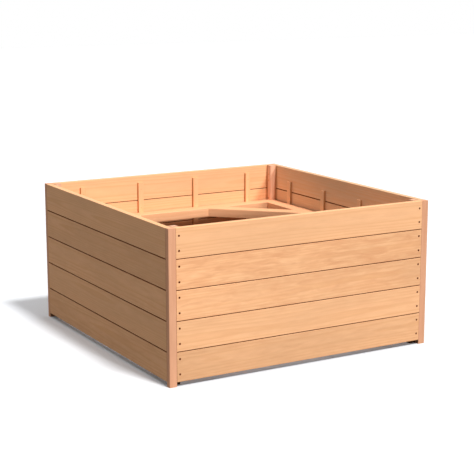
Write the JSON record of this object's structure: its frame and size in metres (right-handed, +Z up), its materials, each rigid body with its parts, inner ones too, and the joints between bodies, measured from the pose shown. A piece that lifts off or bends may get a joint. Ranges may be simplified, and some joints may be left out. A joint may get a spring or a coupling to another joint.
{
  "type": "raised garden bed",
  "caption": "Square raised garden bed: grooved wooden boards on corner posts, upright battens inside the walls and a bracing ring below the rim, open at the top and the bottom.",
  "frame": {"origin": "on the ground, at the centre of the bed's square footprint", "axes": "+Z up; +X to the right along the front wall, seen from outside; +Y from the front wall towards the rear wall"},
  "size_m": [1.2, 1.2, 0.608],
  "materials": {
    "wall_boards": "planed softwood, warm orange tone",
    "corner_wood": "planed softwood, pinkish heartwood; the feet of the posts are dark",
    "batten_wood": "planed softwood",
    "ring_wood": "planed softwood",
    "coated_screws": "steel coated reddish brown; the heads inside the side walls are lacquered in the colour of the wood",
    "steel_nails": "steel, with heads lacquered in the colour of the wood"
  },
  "bodies": {
    "root": {"batten_nails": "steel_nails", "brace_screws": "coated_screws", "front_batten_1": "batten_wood", "front_batten_2": "batten_wood", "front_batten_3": "batten_wood", "front_batten_4": "batten_wood", "front_board_1": "wall_boards", "front_board_2": "wall_boards", "front_board_3": "wall_boards", "front_board_4": "wall_boards", "front_board_5": "wall_boards", "front_left_brace": "ring_wood", "front_left_corner_strip": "corner_wood", "front_left_post": "corner_wood", "front_right_brace": "ring_wood", "front_right_corner_strip": "corner_wood", "front_right_post": "corner_wood", "front_ring_rail": "ring_wood", "front_wall_screws": "coated_screws", "left_batten_1": "batten_wood", "left_batten_2": "batten_wood", "left_batten_3": "batten_wood", "left_batten_4": "batten_wood", "left_board_1": "wall_boards", "left_board_2": "wall_boards", "left_board_3": "wall_boards", "left_board_4": "wall_boards", "left_board_5": "wall_boards", "left_ring_rail": "ring_wood", "left_wall_screws": "coated_screws", "rail_screws": "coated_screws", "rear_batten_1": "batten_wood", "rear_batten_2": "batten_wood", "rear_batten_3": "batten_wood", "rear_batten_4": "batten_wood", "rear_board_1": "wall_boards", "rear_board_2": "wall_boards", "rear_board_3": "wall_boards", "rear_board_4": "wall_boards", "rear_board_5": "wall_boards", "rear_left_brace": "ring_wood", "rear_left_corner_strip": "corner_wood", "rear_left_post": "corner_wood", "rear_right_brace": "ring_wood", "rear_right_corner_strip": "corner_wood", "rear_right_post": "corner_wood", "rear_ring_rail": "ring_wood", "rear_wall_screws": "coated_screws", "right_batten_1": "batten_wood", "right_batten_2": "batten_wood", "right_batten_3": "batten_wood", "right_batten_4": "batten_wood", "right_board_1": "wall_boards", "right_board_2": "wall_boards", "right_board_3": "wall_boards", "right_board_4": "wall_boards", "right_board_5": "wall_boards", "right_ring_rail": "ring_wood", "right_wall_screws": "coated_screws", "strip_pins": "steel_nails"}
  },
  "joints": []
}
